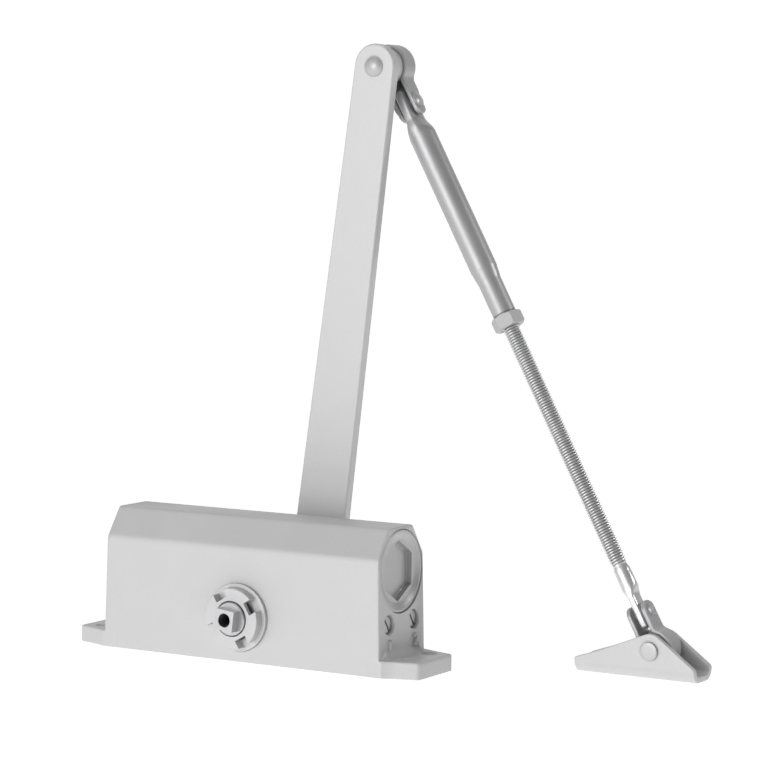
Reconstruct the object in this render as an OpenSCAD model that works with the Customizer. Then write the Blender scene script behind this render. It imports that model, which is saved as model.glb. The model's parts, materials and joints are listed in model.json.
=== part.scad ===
// Overhead door closer: a rack-and-pinion closer body with a two-piece link arm and a frame shoe.
// Millimetres. X runs along the body, +Z stands out of the door face, and the body's front side is -Y.
// The origin is the centre of the four foot holes, on the mounting plane.

/* [Body] */
// Length of the casing at the mounting plane, without the feet
body_len = 150; // [150:1:156]
// Width of the casing at the mounting plane
body_w = 41; // [41:0.1:43]
// Height of the casing above the mounting plane
body_h = 65.6; // [65.6:0.1:67]
// Height at which the long top chamfers start
chamfer_z = 52.1; // [51:0.1:53]
// Half-width of the flat top
top_half_w = 10.76; // [10.5:0.01:11.5]
// Length over both feet
feet_len = 185.2; // [182:0.1:190]
// Thickness of a foot
foot_t = 7.8; // [7:0.1:8.5]
// Half-width of a foot at its outer end
foot_end_half_w = 15.2; // [14:0.1:17]
// Distance between the foot holes along the body
foot_hole_dx = 166; // [164:1:168]
// Distance between the foot holes across the body
foot_hole_dy = 19; // [18:1:20]
// Radius of a foot hole
foot_hole_r = 2.8; // [2.5:0.1:3]

/* [Cylinder and valves] */
// Height of the cylinder axis above the mounting plane
cyl_z = 45.55; // [45.3:0.05:45.7]
// Radius of the cylinder bore
cyl_r = 17.5; // [17.4:0.05:17.6]
// Radius of an end plug
plug_r = 18.9; // [18.8:0.05:19]
// Width across the flats of the plug's hexagon socket
plug_hex_af = 24; // [20:0.5:26]
// Height of the regulating valves
valve_z = 22.6; // [22:0.1:23]
// Distance of each valve from the middle of the body
valve_y = 11; // [10:0.1:11.5]
// Radius of a regulating valve's barrel
valve_r = 4; // [3.8:0.1:4.1]

/* [Pinion] */
// Height of the pinion axis above the mounting plane
pinion_z = 20.63; // [20.63:0.01:20.63]
// Gear module
gear_m = 2; // [2:0.1:2]
// Number of pinion teeth
teeth = 10; // [10:1:10]
// Pressure angle of the teeth
press_a = 25; // [25:1:25]
// Half-length of the toothed part
gear_half_len = 11.5; // [10:0.5:11.5]
// Radius of the pinion's bearing journals
journal_r = 8; // [8:0.1:8]
// Width across the flats of the square shaft ends
square_af = 9.5; // [9:0.1:10]
// Distance from the body's middle to the tip of each square end
square_tip_y = 32; // [31:0.1:33]

/* [Link arm] */
// Lean of the main arm from upright, towards +X
arm_lean = 7.2; // [0:0.1:15]
// Distance between the pinion axis and the elbow axis
arm_len = 253; // [240:1:270]
// Thickness of the main arm
arm_t = 5.4; // [5:0.1:5.8]
// Radius of the arm's end at the pinion
arm_hub_r = 13.9; // [13:0.1:15]
// Radius of the arm's end at the elbow
arm_tip_r = 10.5; // [10:0.1:12]
// Front face of the arm's straight part
arm_front_y = 41.75; // [41:0.05:42.5]
// Radius of the elbow rivet's shank
rivet_r = 3; // [2.8:0.1:3.2]
// Outer radius of the forearm tube
tube_r = 6.35; // [6:0.05:6.5]
// Radius of the threaded rod
rod_r = 4; // [3.9:0.1:4]
// Sheet thickness of the two stamped knuckles
sheet_t = 2; // [1.8:0.1:2.2]
// Tilt of the forearm out of the arm's plane
forearm_tilt = 0.9; // [0:0.1:1.5]

/* [Shoe] */
// Width of the shoe
shoe_w = 19.2; // [18.5:0.1:20]
// Sheet thickness of the shoe
shoe_t = 2.8; // [2.5:0.1:3]
// Height of the shoe's pin above the mounting plane
shoe_pin_z = 12.9; // [12.6:0.1:14]
// Length of the shoe to the left of its pin
shoe_left = 37.2; // [35:0.1:40]
// Length of the shoe to the right of its pin
shoe_right = 22.1; // [20:0.1:25]
// Radius of a screw hole in the shoe's base
shoe_hole_r = 2.5; // [2:0.1:2.8]

/* [Hidden] */
$fn = 64;

silver = [0.80, 0.80, 0.80];
steel = [0.66, 0.67, 0.69];
dark_rubber = [0.12, 0.12, 0.12];
gap = 0.05;      // between fixed pieces that are assembled together
run = 0.08;      // radial clearance of a piece that turns or slides
far = 400;       // longer than anything it cuts

// Casing: drafts, the bearing landings and the bores
end_draft = 0.023;
side_draft = 0.013;
half_len = body_len / 2;
half_w = body_w / 2;
landing_y = 20;
landing_r = 16;
cap_flange_r = 15.7;
cap_flange_t = 1.85;
cap_disc_r = 14;
cap_face_y = 26.5;
spigot_r = 14;
spigot_end_y = 14.5;
gear_bore_r = 13;
plug_thread_len = 12;
plug_nose_len = 4;
plug_face_x = half_len - end_draft * body_h / 2 - 0.6;
plug_dish = 1;
plug_nose_r = cyl_r - gap;
plug_in_x = plug_face_x - plug_thread_len - plug_nose_len;
seal_wire_r = 1.1;
valve_recess_r = 4.5;
valve_recess = 3;
valve_face_x = half_len - end_draft * valve_z - valve_recess + 1.6;
valve_len = 18;
valve_end_x = valve_face_x - valve_len;
oilway_r = 1.3;
oilway_x = 30;

// Gear pair
pitch_r = gear_m * teeth / 2;
addendum = 0.8 * gear_m;
dedendum = gear_m;
base_r = pitch_r * cos(press_a);
tip_r = pitch_r + addendum;
root_r = pitch_r - dedendum;
backlash_a = 0.4;
flank_steps = 5;
tooth_half_a = 90 / teeth + involute_a(pitch_r) - backlash_a;
rack_pitch_z = pinion_z + pitch_r;
rack_root_z = rack_pitch_z + dedendum;
rack_slack = 0.1;
tooth_pitch = PI * gear_m;
travel = PI * pitch_r;
piston_r = cyl_r - 0.05;
window_clear = 9.6;
piston_left_x = -22;
piston_right_x = 56.5;
piston_bore_r = 11;
piston_bore_end_x = 37;
spring_r = 8.7;
spring_wire_r = 2;
spring_turns = 13;
spring_left_x = -plug_in_x + 1.5;
spring_right_x = piston_bore_end_x - 0.5;

// Arm and forearm places
hub_front_y = 27.2;
bend_from = 16;
bend_to = 38;
elbow = [arm_len * sin(arm_lean), pinion_z + arm_len * cos(arm_lean)];
cross_d = 20;
cross_y = 57.4;
link_d = 279.5;
link_pin_span = 16.9;
forearm_drop = cross_d + (link_d - cross_d) * cos(forearm_tilt) + link_pin_span;
forearm_a = acos((elbow[1] - shoe_pin_z) / forearm_drop);
shoe_x = elbow[0] + forearm_drop * sin(forearm_a);
shoe_y = cross_y - (link_d - cross_d) * sin(forearm_tilt);
yoke_front_y = 53.3;
yoke_back_y = 64.6;
yoke_cup_r = 10.4;
yoke_half_w = 5.5;
web_end_d = 11.5;
cross_pin_r = 2.5;
neck_r = 5.5;
tube_shoulder_d = 106;
neck_start_d = 112;
tube_end_d = 129.3;
nut_af = 13;
nut_t = 6.5;
rod_in_d = 100;
rod_tip_d = 286;
link_half_w = 5;
link_half_depth = 5.8;
link_cup_r = 9.3;
link_pin_r = 2;
shoe_pin_r = 3;

// ---- Shared functions and shapes ----

// Angle of the involute at radius r, in degrees
function involute_a(r) = r <= base_r ? 0
    : let (a = acos(base_r / r)) (tan(a) - a * PI / 180) * 180 / PI;

// Points of an arc round c, from angle a0 to a1
function arc(c, r, a0, a1, n) =
    [for (i = [0:n]) let (a = a0 + (a1 - a0) * i / n) [c[0] + r * cos(a), c[1] + r * sin(a)]];

// Smooth step from 0 to 1
function ease(t) = t <= 0 ? 0 : t >= 1 ? 1 : (1 - cos(180 * t)) / 2;

// Cylinder from a to b along X, Y, or the local Z
module along_x(r, a, b) {
    translate([a, 0, 0]) rotate([0, 90, 0]) cylinder(r = r, h = b - a);
}

module along_y(r, a, b) {
    translate([0, b, 0]) rotate([90, 0, 0]) cylinder(r = r, h = b - a);
}

module along_z(r, a, b) {
    translate([0, 0, a]) cylinder(r = r, h = b - a);
}

// Outline drawn in X and Z, made solid from y0 to y1
module slab_y(y0, y1) {
    translate([0, y1, 0]) rotate([90, 0, 0]) linear_extrude(height = y1 - y0) children();
}

// Outline drawn in Y and Z, made solid from x0 to x1
module slab_x(x0, x1) {
    translate([x0, 0, 0]) rotate([90, 0, 90]) linear_extrude(height = x1 - x0) children();
}

// Ring round the local Z axis with a round section
module o_ring(r, wire_r) {
    rotate_extrude() translate([r, 0]) circle(r = wire_r, $fn = 24);
}

// Domed rivet head on the plane z = 0, standing towards +Z
module dome(r, h) {
    ball_r = (r * r + h * h) / (2 * h);
    rotate_extrude() intersection() {
        translate([0, h - ball_r]) circle(r = ball_r, $fn = 96);
        square([r, h]);
    }
}

// Front and back copies of what sits on the pinion axis
module both_bearings() {
    for (side = [0, 1]) translate([0, 0, pinion_z]) mirror([0, side, 0]) children();
}

// Places children at the main arm's pinion end, with Z along the arm
module arm_frame() {
    translate([0, 0, pinion_z]) rotate([0, arm_lean, 0]) children();
}

// Places children at the elbow, with Z along the forearm and X across it
module elbow_frame() {
    translate([elbow[0], 0, elbow[1]]) rotate([0, 180 - forearm_a, 0]) children();
}

// The same, tilted about the elbow's cross pin, with y = 0 on the forearm axis
module forearm_frame() {
    elbow_frame() translate([0, cross_y, cross_d]) rotate([forearm_tilt, 0, 0])
        translate([0, 0, -cross_d]) children();
}

// Places children at the shoe pin, with Z along the forearm
module link_frame() {
    translate([shoe_x, shoe_y, shoe_pin_z]) rotate([0, 180 - forearm_a, 0]) children();
}

// ---- Casing ----

module casing_side_outline() {
    fillet = 4;
    foot_half = feet_len / 2;
    wall_x = half_len - end_draft * (foot_t + fillet);
    top_x = half_len - end_draft * body_h;
    right = concat(
        [[foot_half, 0], [foot_half, foot_t]],
        arc([wall_x + fillet, foot_t + fillet], fillet, 270, 180, 8),
        [[top_x, body_h]]
    );
    left = [for (i = [len(right) - 1:-1:0]) [-right[i][0], right[i][1]]];
    polygon(concat(right, left));
}

module casing_end_outline() {
    chamfer_half_w = half_w - side_draft * chamfer_z;
    polygon([
        [half_w, 0], [chamfer_half_w, chamfer_z], [top_half_w, body_h],
        [-top_half_w, body_h], [-chamfer_half_w, chamfer_z], [-half_w, 0]
    ]);
}

module casing_plan() {
    foot_half = feet_len / 2;
    corner = 1.5;
    quarter = concat(
        arc([foot_half - corner, foot_end_half_w - corner], corner, 0, 70, 6),
        [[half_len + 3, half_w - 1.4], [half_len - 1, half_w + 1]]
    );
    back = [for (i = [len(quarter) - 1:-1:0]) [-quarter[i][0], quarter[i][1]]];
    half = concat(quarter, back);
    polygon(concat(half, [for (i = [len(half) - 1:-1:0]) [half[i][0], -half[i][1]]]));
}

module valve_bore(side) {
    translate([0, side * valve_y, valve_z]) {
        along_x(valve_recess_r, half_len - end_draft * valve_z - valve_recess, far);
        along_x(valve_r + 0.03, valve_end_x - 1.5, far);
        along_x(oilway_r, oilway_x, valve_end_x);
    }
    translate([oilway_x, side * valve_y, 0]) along_z(oilway_r, valve_z - oilway_r, cyl_z - cyl_r + 5);
    translate([valve_end_x, side * valve_y, 0]) along_z(oilway_r, valve_z, cyl_z - cyl_r + 5);
}

module foot_hole() {
    along_z(foot_hole_r, -1, foot_t + 1);
    translate([0, 0, foot_t - 1.2]) cylinder(r1 = foot_hole_r, r2 = foot_hole_r + 1.3, h = 1.3);
}

module body_casing() {
    color(silver) difference() {
        intersection() {
            slab_y(-half_w - 1, half_w + 1) casing_side_outline();
            slab_x(-far, far) casing_end_outline();
            linear_extrude(height = body_h) casing_plan();
        }
        translate([0, 0, cyl_z]) {
            along_x(cyl_r, -far, far);
            for (side = [0, 1]) mirror([side, 0, 0])
                along_x(plug_r + gap, plug_face_x - plug_thread_len, far);
        }
        translate([0, 0, pinion_z]) {
            along_y(gear_bore_r, -far, far);
            for (side = [0, 1]) mirror([0, side, 0]) {
                along_y(spigot_r + gap, spigot_end_y, far);
                along_y(landing_r, landing_y, far);
            }
        }
        for (side = [-1, 1]) valve_bore(side);
        for (sx = [-1, 1], sy = [-1, 1])
            translate([sx * foot_hole_dx / 2, sy * foot_hole_dy / 2, 0]) foot_hole();
    }
}

// ---- End plugs, seals and regulating valves ----

module end_plug() {
    groove_x = plug_in_x + plug_nose_len / 2;
    hex_depth = 3;
    color(silver) translate([0, 0, cyl_z]) difference() {
        union() {
            along_x(plug_r, plug_in_x + plug_nose_len, plug_face_x);
            along_x(plug_nose_r, plug_in_x, plug_face_x - 1);
        }
        translate([plug_face_x, 0, 0]) rotate([0, 90, 0]) translate([0, 0, -plug_dish])
            cylinder(r1 = plug_hex_af / 2 + 3, r2 = plug_r - 1.5, h = plug_dish + 0.01);
        translate([plug_face_x - hex_depth - plug_dish, 0, 0]) rotate([0, 90, 0])
            cylinder(r = plug_hex_af / 2 / cos(30), h = far, $fn = 6);
        translate([groove_x, 0, 0]) difference() {
            along_x(plug_r, -seal_wire_r - gap, seal_wire_r + gap);
            along_x(plug_nose_r - 2 * seal_wire_r - gap, -plug_r, plug_r);
        }
    }
}

module end_plug_right() {
    end_plug();
}

module end_plug_left() {
    mirror([1, 0, 0]) end_plug();
}

module plug_seals() {
    color(dark_rubber) for (side = [0, 1]) mirror([side, 0, 0])
        translate([plug_in_x + plug_nose_len / 2, 0, cyl_z]) rotate([0, 90, 0])
            o_ring(plug_nose_r - seal_wire_r, seal_wire_r);
}

module valve_screw(side) {
    slot_w = 1.2;
    slot_tilt = 35;
    needle_len = 5;
    color(steel) translate([0, side * valve_y, valve_z]) difference() {
        union() {
            along_x(valve_r, valve_face_x - 12, valve_face_x);
            along_x(valve_r - 1.2, valve_end_x + needle_len, valve_face_x - 11);
            translate([valve_end_x, 0, 0]) rotate([0, 90, 0])
                cylinder(r1 = 0.9, r2 = 1.6, h = needle_len + 1);
        }
        translate([valve_face_x, 0, 0]) rotate([slot_tilt, 0, 0])
            cube([3.6, slot_w, far], center = true);
        translate([valve_face_x - 9.5, 0, 0]) difference() {
            along_x(far, -0.8, 0.8);
            along_x(valve_r - 1.3, -far, far);
        }
    }
}

module valve_screw_1() {
    valve_screw(-1);
}

module valve_screw_2() {
    valve_screw(1);
}

module valve_seal(side) {
    color(dark_rubber) translate([valve_face_x - 9.5, side * valve_y, valve_z]) rotate([0, 90, 0])
        o_ring(valve_r - 0.65, 0.6);
}

module valve_seal_1() {
    valve_seal(-1);
}

module valve_seal_2() {
    valve_seal(1);
}

// ---- Bearing caps, bearings and the pinion ----

// Cap on the -Y side of the pinion axis
module bearing_cap() {
    notch_w = 6.2;
    notch_deep = 4.25;
    first_notch = 31;
    cup_r = 11;
    cup_out_y = 21.6;
    seal_r = 10.4;
    lip_y = 25.2;
    difference() {
        union() {
            along_y(spigot_r, -landing_y - 0.5, -spigot_end_y - 0.6);
            along_y(cap_flange_r, -landing_y - cap_flange_t, -landing_y);
            along_y(cap_disc_r, -cap_face_y, -landing_y);
        }
        along_y(cup_r + gap / 2, -cup_out_y, 0);
        along_y(seal_r, -lip_y, 0);
        along_y(journal_r + 0.35, -far, 0);
        for (i = [0:3]) rotate([0, -first_notch - 90 * i, 0])
            translate([cap_disc_r - notch_deep, -cap_face_y - 1, -notch_w / 2])
                cube([far, cap_face_y - landing_y - cap_flange_t + 1, notch_w]);
    }
}

module bearing_cap_front() {
    color(silver) translate([0, 0, pinion_z]) bearing_cap();
}

module bearing_cap_back() {
    color(silver) translate([0, 0, pinion_z]) mirror([0, 1, 0]) bearing_cap();
}

module cap_seals() {
    color(dark_rubber) both_bearings() translate([0, -spigot_end_y - 0.05, 0]) rotate([90, 0, 0])
        difference() {
            cylinder(r = spigot_r, h = 0.5);
            translate([0, 0, -1]) cylinder(r = gear_bore_r, h = far);
        }
}

module bearing_cups() {
    color(steel) both_bearings() difference() {
        along_y(11, -21.5, -14.6);
        along_y(10.1, -20.7, 0);
        along_y(9.2, -far, 0);
    }
}

module needle_rollers() {
    needles = 16;
    color(steel) both_bearings() for (i = [0:needles - 1]) rotate([0, 360 * i / needles, 0])
        translate([journal_r + gap + 1, 0, 0]) along_y(1, -20.6, -14.7);
}

module shaft_seals() {
    color(dark_rubber) both_bearings() translate([0, -23.4, 0]) rotate([90, 0, 0])
        o_ring(journal_r + 0.04 + 1.15, 1.15);
}

module thrust_washers() {
    color(steel) both_bearings() difference() {
        along_y(gear_bore_r - 1.5, -14.5, -11.6);
        along_y(journal_r + 0.1, -far, 0);
    }
}

// Outline of the gear with one tooth pointing at +Y of the sheet
module gear_outline() {
    up = [for (i = [0:flank_steps]) let (r = base_r + (tip_r - base_r) * i / flank_steps)
        [r, tooth_half_a - involute_a(r)]];
    down = [for (i = [flank_steps:-1:0]) [up[i][0], -up[i][1]]];
    flank = concat([[root_r, tooth_half_a]], up, down, [[root_r, -tooth_half_a]]);
    polygon([for (t = [0:teeth - 1]) for (p = flank)
        let (a = 90 - 360 / teeth * t + p[1]) [p[0] * cos(a), p[0] * sin(a)]]);
}

module pinion_shaft() {
    collar_y = 25;
    shoulder_y = 27.15;
    collar_r = 7.8;
    thread_core_r = 2.5;
    thread_depth = 14;
    mouth_r = 3.6;
    color(steel) translate([0, 0, pinion_z]) difference() {
        union() {
            slab_y(-gear_half_len, gear_half_len) gear_outline();
            along_y(journal_r, -collar_y, collar_y);
            along_y(collar_r, -shoulder_y, shoulder_y);
            rotate([0, arm_lean, 0])
                cube([square_af, 2 * square_tip_y, square_af], center = true);
        }
        for (side = [0, 1]) mirror([0, side, 0]) {
            along_y(thread_core_r, -far, -square_tip_y + thread_depth);
            translate([0, -square_tip_y - 0.01, 0]) rotate([-90, 0, 0])
                cylinder(r1 = mouth_r, r2 = thread_core_r, h = mouth_r - thread_core_r);
        }
    }
}

// ---- Piston and closing spring ----

// One rack tooth pointing down, with the pitch line at its middle height
module rack_tooth() {
    half_t = tooth_pitch / 4 - rack_slack;
    spread = tan(press_a);
    polygon([
        [-half_t - (dedendum + 1) * spread, dedendum + 1], [-half_t + addendum * spread, -addendum],
        [half_t - addendum * spread, -addendum], [half_t + (dedendum + 1) * spread, dedendum + 1]
    ]);
}

module rack_piston() {
    window_l = -window_clear;
    window_r = travel + window_clear;
    last_tooth = 5;
    seal_x = piston_right_x - 5;
    guide_x = piston_left_x + 4;
    color(steel) difference() {
        union() {
            difference() {
                translate([0, 0, cyl_z]) along_x(piston_r, piston_left_x, piston_right_x);
                translate([window_l, -far / 2, rack_root_z - far])
                    cube([window_r - window_l, far, far]);
            }
            intersection() {
                translate([0, 0, cyl_z]) along_x(piston_r, window_l - 1, window_r + 1);
                slab_y(-half_w, half_w) translate([0, rack_pitch_z])
                    for (i = [-1:last_tooth]) translate([(i + 0.5) * tooth_pitch, 0]) rack_tooth();
            }
        }
        translate([0, 0, cyl_z]) {
            along_x(piston_bore_r, -far, piston_bore_end_x);
            along_x(2.2, 0, far);
            along_x(4, piston_right_x - 8, far);
            translate([seal_x, 0, 0]) difference() {
                along_x(far, -1.5, 1.5);
                along_x(piston_r - 2.3, -far, far);
            }
            translate([guide_x, 0, 0]) difference() {
                along_x(far, -2.5, 2.5);
                along_x(piston_r - 1.6, -far, far);
            }
        }
    }
}

module piston_seal() {
    color(dark_rubber) translate([piston_right_x - 5, 0, cyl_z]) difference() {
        along_x(piston_r, -1.4, 1.4);
        along_x(piston_r - 2.2, -far, far);
    }
}

module piston_guide_ring() {
    color([0.85, 0.83, 0.75]) translate([piston_left_x + 4, 0, cyl_z]) difference() {
        along_x(piston_r, -2.4, 2.4);
        along_x(piston_r - 1.5, -far, far);
    }
}

module check_ball() {
    color(steel) translate([piston_right_x - 6.55, 0, cyl_z]) sphere(r = 2.6, $fn = 48);
}

module check_ball_retainer() {
    color(steel) translate([0, 0, cyl_z]) difference() {
        along_x(3.95, piston_right_x - 1.6, piston_right_x);
        along_x(1.2, -far, far);
    }
}

// Coil as one swept tube, with closed ends
module closing_spring() {
    sides = 8;
    per_turn = 16;
    rings = spring_turns * per_turn;
    length = spring_right_x - spring_left_x - 2 * spring_wire_r;
    start_x = spring_left_x + spring_wire_r;
    points = [for (i = [0:rings]) for (k = [0:sides - 1])
        let (a = 360 * i / per_turn, w = 360 * k / sides, r = spring_r + spring_wire_r * cos(w))
        [start_x + length * i / rings + spring_wire_r * sin(w), r * cos(a), cyl_z + r * sin(a)]];
    walls = [for (i = [0:rings - 1]) for (k = [0:sides - 1])
        let (n = (k + 1) % sides, q = i * sides)
        [q + k, q + n, q + sides + n, q + sides + k]];
    caps = [[for (k = [sides - 1:-1:0]) k], [for (k = [0:sides - 1]) rings * sides + k]];
    color(steel) polyhedron(points = points, faces = concat(walls, caps));
}

module spring_washer() {
    color(steel) translate([0, 0, cyl_z]) difference() {
        along_x(14, -plug_in_x + 0.1, -plug_in_x + 1.3);
        along_x(6, -far, far);
    }
}

// ---- Main arm ----

function arm_mid_y(s) = hub_front_y + arm_t / 2
    + (arm_front_y - hub_front_y) * ease((s - bend_from) / (bend_to - bend_from));

// Side outline of the arm: Y across, height along the arm
module arm_side_outline() {
    steps = 16;
    slope = 0.5;
    stations = concat([-arm_hub_r - 1],
        [for (i = [0:steps]) bend_from + (bend_to - bend_from) * i / steps],
        [arm_len + arm_tip_r + 1]);
    rise = [for (s = stations) (arm_mid_y(s + slope) - arm_mid_y(s - slope)) / (2 * slope)];
    front = [for (i = [0:len(stations) - 1]) let (k = sqrt(1 + rise[i] * rise[i]))
        [arm_mid_y(stations[i]) - arm_t / 2 / k, stations[i] + arm_t / 2 * rise[i] / k]];
    back = [for (i = [len(stations) - 1:-1:0]) let (k = sqrt(1 + rise[i] * rise[i]))
        [arm_mid_y(stations[i]) + arm_t / 2 / k, stations[i] - arm_t / 2 * rise[i] / k]];
    polygon(concat(front, back));
}

module main_arm() {
    color(silver) arm_frame() difference() {
        intersection() {
            slab_y(0, far / 2) {
                circle(r = arm_hub_r);
                translate([0, arm_len]) circle(r = arm_tip_r);
                polygon([[-arm_hub_r, 0], [arm_hub_r, 0], [arm_tip_r, arm_len], [-arm_tip_r, arm_len]]);
            }
            slab_x(-arm_hub_r - 1, arm_hub_r + 1) arm_side_outline();
        }
        cube([square_af + 2 * gap, far, square_af + 2 * gap], center = true);
        translate([0, 0, arm_len]) along_y(rivet_r + gap / 2, 0, far);
    }
}

module arm_washer() {
    color(steel) arm_frame() difference() {
        along_y(10, hub_front_y + arm_t + gap, hub_front_y + arm_t + 1.6);
        along_y(3.2, 0, far);
    }
}

module arm_screw() {
    head_y = hub_front_y + arm_t + 1.6 + gap;
    head_t = 4;
    head_af = 10;
    shank_len = 12;
    color(steel) arm_frame() {
        translate([0, head_y + head_t, 0]) rotate([90, 0, 0])
            cylinder(r = head_af / 2 / cos(30), h = head_t, $fn = 6);
        along_y(2.45, head_y - shank_len, head_y + 0.1);
    }
}

// ---- Elbow ----

module elbow_rivet() {
    color(silver) translate([elbow[0], 0, elbow[1]]) {
        along_y(rivet_r, arm_front_y - gap, yoke_back_y + 0.2);
        translate([0, arm_front_y - gap, 0]) rotate([90, 0, 0]) dome(4.85, 2);
        translate([0, yoke_back_y + 0.1, 0]) rotate([-90, 0, 0]) dome(4.6, 1.7);
    }
}

module elbow_spacer() {
    color(silver) translate([elbow[0], 0, elbow[1]]) difference() {
        union() {
            along_y(8.8, arm_front_y + arm_t + 0.15, yoke_front_y - gap);
            along_y(6.4, yoke_front_y - 1, yoke_back_y - sheet_t - gap);
        }
        along_y(rivet_r + run, 0, far);
    }
}

// Plan of a stamped knuckle: a round cup round the origin with two ears that run up to end_d
module knuckle_plan(cup_r, ear_half_w, end_d) {
    neck_a = 37;
    polygon(concat(
        [[ear_half_w, end_d], [ear_half_w, cup_r + 1]],
        arc([0, 0], cup_r, neck_a, -180 - neck_a, 32),
        [[-ear_half_w, cup_r + 1], [-ear_half_w, end_d]]
    ));
}

module elbow_yoke() {
    ear_end_d = 27;
    tip_r = 4.1;
    color(silver) elbow_frame() difference() {
        intersection() {
            slab_y(yoke_front_y, yoke_back_y) knuckle_plan(yoke_cup_r, yoke_half_w, ear_end_d);
            slab_x(-far, far) polygon(concat(
                [[yoke_back_y, web_end_d], [yoke_back_y, -far], [yoke_front_y, -far]],
                arc([cross_y, ear_end_d - tip_r], tip_r, 180, 0, 12)
            ));
        }
        slab_y(0, yoke_back_y - sheet_t)
            knuckle_plan(yoke_cup_r - sheet_t, yoke_half_w - sheet_t, far);
        translate([-yoke_half_w + sheet_t, 0, web_end_d])
            cube([2 * (yoke_half_w - sheet_t), far, far]);
        along_y(rivet_r + run, 0, far);
        translate([0, cross_y, cross_d]) along_x(cross_pin_r + gap / 2, -far, far);
    }
}

module elbow_cross_pin() {
    color(silver) elbow_frame() translate([0, cross_y, cross_d]) {
        along_x(cross_pin_r, -yoke_half_w - 0.1, yoke_half_w + 0.1);
        for (side = [0, 1]) mirror([side, 0, 0])
            translate([yoke_half_w + gap, 0, 0]) rotate([0, 90, 0]) dome(3.9, 1.3);
    }
}

// ---- Forearm ----

// Outline of a round bar pressed flat at one end: half-thickness against length
module flattened_outline(r, flat_half_t, flat_tip, flat_to, round_from, round_tip) {
    polygon([
        [-flat_half_t, flat_tip], [-flat_half_t, flat_to], [-r - 1, round_from], [-r - 1, round_tip],
        [r + 1, round_tip], [r + 1, round_from], [flat_half_t, flat_to], [flat_half_t, flat_tip]
    ]);
}

module forearm_tube() {
    flat_end_r = 7.3;
    color(silver) forearm_frame() difference() {
        union() {
            intersection() {
                along_z(tube_r, cross_d - flat_end_r, tube_shoulder_d);
                slab_y(-far, far) flattened_outline(tube_r, 2.6, 0, 28, 36, far);
                union() {
                    translate([0, 0, cross_d]) along_x(flat_end_r, -far, far);
                    along_z(tube_r + 1, cross_d, far);
                }
            }
            translate([0, 0, tube_shoulder_d])
                cylinder(r1 = tube_r, r2 = neck_r, h = neck_start_d - tube_shoulder_d);
            along_z(neck_r, neck_start_d, tube_end_d);
        }
        along_z(rod_r + run, 45, far);
        translate([0, 0, cross_d]) along_x(cross_pin_r + run, -far, far);
    }
}

module lock_nut() {
    color(silver) forearm_frame() difference() {
        translate([0, 0, tube_end_d + gap]) intersection() {
            rotate([0, 0, 45]) cylinder(r = nut_af / 2 / cos(30), h = nut_t, $fn = 6);
            cylinder(r1 = nut_af / 2 + 0.2, r2 = nut_af / 2 + 4, h = nut_t);
            translate([0, 0, nut_t - 8]) cylinder(r1 = nut_af / 2 + 4.6, r2 = nut_af / 2 + 0.2, h = 8);
        }
        along_z(rod_r + run, 0, far);
    }
}

module threaded_rod() {
    color(silver) forearm_frame() difference() {
        intersection() {
            along_z(rod_r, rod_in_d, rod_tip_d);
            mirror([0, 0, 1]) slab_y(-far, far)
                flattened_outline(rod_r, 1.8, -rod_tip_d - 1, -271, -265, 0);
        }
        translate([0, 0, link_d]) along_x(link_pin_r + run, -far, far);
    }
}

// ---- Shoe ----

module shoe_link() {
    ear_end = link_pin_span + 5;
    tip_r = 4;
    color(silver) link_frame() difference() {
        intersection() {
            slab_y(-link_half_depth, link_half_depth) mirror([0, 1])
                knuckle_plan(link_cup_r, link_half_w, ear_end);
            slab_x(-far, far) polygon(concat(
                [[link_half_depth, far], [-link_half_depth, far]],
                arc([tip_r - link_half_depth, tip_r - ear_end], tip_r, 180, 270, 6),
                arc([link_half_depth - tip_r, tip_r - ear_end], tip_r, 270, 360, 6)
            ));
        }
        slab_y(-far, link_half_depth - sheet_t) mirror([0, 1])
            knuckle_plan(link_cup_r - sheet_t, link_half_w - sheet_t, far);
        translate([-link_half_w + sheet_t, 0, -far - 9.5])
            cube([2 * (link_half_w - sheet_t), far, far]);
        along_y(shoe_pin_r + run, -far, far);
        translate([0, 0, -link_pin_span]) along_x(link_pin_r + gap / 2, -far, far);
    }
}

module link_cross_pin() {
    color(silver) link_frame() translate([0, 0, -link_pin_span]) {
        along_x(link_pin_r, -link_half_w - 0.1, link_half_w + 0.1);
        for (side = [0, 1]) mirror([side, 0, 0])
            translate([link_half_w + gap, 0, 0]) rotate([0, 90, 0]) dome(3, 0.7);
    }
}

module shoe_pin() {
    wall_y = shoe_w / 2 + gap;
    color(silver) translate([shoe_x, shoe_y, shoe_pin_z]) {
        along_y(shoe_pin_r, -wall_y - 0.1, wall_y + 0.1);
        for (side = [0, 1]) mirror([0, side, 0])
            translate([0, wall_y, 0]) rotate([-90, 0, 0]) dome(4.4, 1.2);
    }
}

// Round-bottomed block of the channel's section, inset from its outside
module channel_section(inset, bend_r) {
    w = shoe_w - 2 * inset;
    translate([-w / 2, inset + bend_r]) square([w, far]);
    translate([-w / 2 + bend_r, inset]) square([w - 2 * bend_r, far]);
    for (side = [-1, 1]) translate([side * (w / 2 - bend_r), inset + bend_r]) circle(r = bend_r);
}

module shoe_side_outline() {
    end_z = 7;
    crown_r = 7.7;
    right_a = 55.2;
    left_a = 111.4;
    corner = 2.5;
    polygon(concat(
        [[-shoe_left, 0], [shoe_right, 0]],
        arc([shoe_right - corner, end_z - 2], corner, 0, 55, 5),
        arc([0, shoe_pin_z], crown_r, right_a, left_a, 10),
        [[-24.3, 11.4], [-shoe_left, end_z]]
    ));
}

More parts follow.
